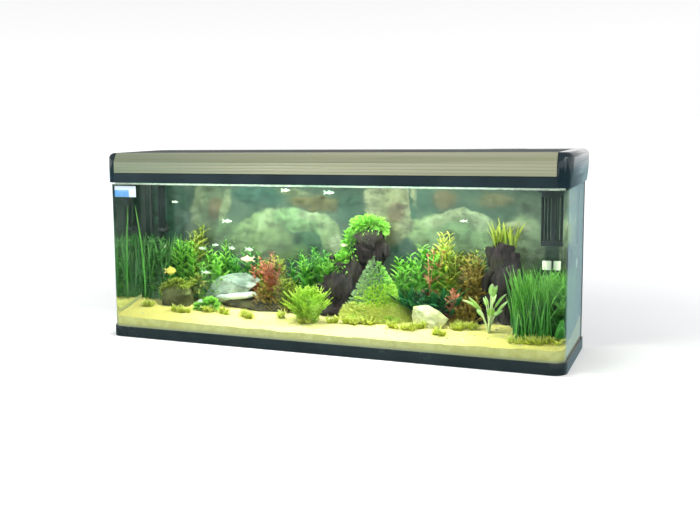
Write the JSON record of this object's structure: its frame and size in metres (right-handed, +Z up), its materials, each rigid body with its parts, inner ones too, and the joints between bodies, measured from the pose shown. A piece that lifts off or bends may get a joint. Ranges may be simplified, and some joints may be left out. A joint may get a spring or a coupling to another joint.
{
  "type": "lidded aquarium",
  "caption": "Long bent-glass aquarium on a low base frame, with a hinged lighted hood, trickle filter, heater and planted gravel bed.",
  "frame": {"origin": "middle of the underside of the base frame, on the surface that the tank stands on", "axes": "+X along the tank to the right seen from the front, -Y out of the front glass, +Z up"},
  "size_m": [1.218, 0.308, 0.5],
  "materials": {
    "black_plastic": "moulded black plastic, satin to glossy",
    "foam": "closed-cell levelling foam",
    "tank_glass": "float glass, polished edges",
    "silicone": "silicone sealant",
    "printed_film": "printed background film",
    "gravel": "pale yellow quartz sand and gravel",
    "dark_stone": "rough stone with algae",
    "grey_stone": "pale grey slab stone",
    "driftwood": "dark waterlogged wood",
    "plant_green": "mid green leaves",
    "plant_lime": "lime green leaves",
    "plant_warm": "red and brown leaves",
    "heater_glass": "clear quartz tube",
    "pale_rubber": "pale rubber foot",
    "red_plastic": "red plastic",
    "green_plastic": "green plastic",
    "champagne_aluminium": "brushed champagne anodised extrusion",
    "steel": "stainless steel",
    "white_metal": "white enamelled sheet",
    "lamp_phosphor": "white phosphor tube",
    "clear_acrylic": "clear acrylic sheet",
    "filter_foam": "open-cell filter foam",
    "ceramic": "ceramic shaft",
    "grey_plastic": "grey moulded rotor"
  },
  "bodies": {
    "tank": {"base_frame": "black_plastic", "foam_mat": "foam", "floor_pane": "tank_glass", "bent_glass": "tank_glass", "rear_pane": "tank_glass", "silicone_seams": "silicone", "front_brace": "tank_glass", "rear_brace": "tank_glass", "cross_brace": "tank_glass", "background_film": "printed_film", "gravel_bed": "gravel", "rock_left": "dark_stone", "slab_stone": "grey_stone", "rock_centre": "dark_stone", "pale_stone": "grey_stone", "driftwood_centre": "driftwood", "driftwood_stump": "driftwood", "plant_left_tall": "plant_green", "plant_left_bush": "plant_lime", "plant_red": "plant_warm", "plant_lime": "plant_lime", "plant_tops": "plant_green", "plant_fern": "plant_green", "plant_stems": "plant_warm", "plant_broadleaf": "plant_lime", "plant_grass": "plant_green", "plant_tufts": "plant_lime", "heater_tube": "heater_glass", "heater_guard": "black_plastic", "heater_head": "black_plastic", "heater_foot": "pale_rubber", "heater_clips": "silicone"},
    "hood": {"front_rail": "black_plastic", "rear_rail": "black_plastic", "end_cap_left": "black_plastic", "end_cap_right": "black_plastic", "rear_cover": "black_plastic", "hinge_pins": "steel", "cover_screws": "steel", "reflector": "white_metal", "lamp_tubes": "lamp_phosphor", "lamp_holders": "black_plastic", "splash_shield": "clear_acrylic", "ballast": "white_metal", "filter_tray": "black_plastic", "filter_sponge": "filter_foam", "spray_bar": "black_plastic", "outlet_elbow": "black_plastic", "pump_body": "black_plastic", "pump_cover": "black_plastic", "pump_shaft": "ceramic", "intake_cage": "black_plastic", "intake_foot": "pale_rubber", "switch_bezel": "black_plastic"},
    "lid": {"lid_fascia": "champagne_aluminium", "lid_panel": "black_plastic"},
    "lamp_rocker": {"lamp_switch": "red_plastic"},
    "pump_rocker": {"pump_switch": "green_plastic"},
    "pump_rotor": {"impeller": "grey_plastic"},
    "heater_dial": {"heater_knob": "red_plastic"}
  },
  "joints": [
    {"name": "hood_lift", "type": "slide", "parent": "tank", "child": "hood", "axis": [0, 0, 1], "range_m": [0, 0.25]},
    {"name": "lid_hinge", "type": "hinge", "parent": "hood", "child": "lid", "pos_m": [0, 0.066, 0.492], "axis": [-1, 0, 0], "range_deg": [0, 95]},
    {"name": "lamp_switch_rock", "type": "hinge", "parent": "hood", "child": "lamp_rocker", "pos_m": [0.4, 0.111, 0.493], "axis": [1, 0, 0], "range_deg": [0, 10]},
    {"name": "pump_switch_rock", "type": "hinge", "parent": "hood", "child": "pump_rocker", "pos_m": [0.44, 0.111, 0.493], "axis": [1, 0, 0], "range_deg": [0, 10]},
    {"name": "impeller_spin", "type": "hinge", "parent": "hood", "child": "pump_rotor", "pos_m": [0.528, 0.112, 0.41], "axis": [0, 0, 1], "continuous": true},
    {"name": "heater_dial_turn", "type": "hinge", "parent": "tank", "child": "heater_dial", "pos_m": [-0.543, 0.112, 0.435], "axis": [0, 0, 1], "range_deg": [0, 270]}
  ]
}
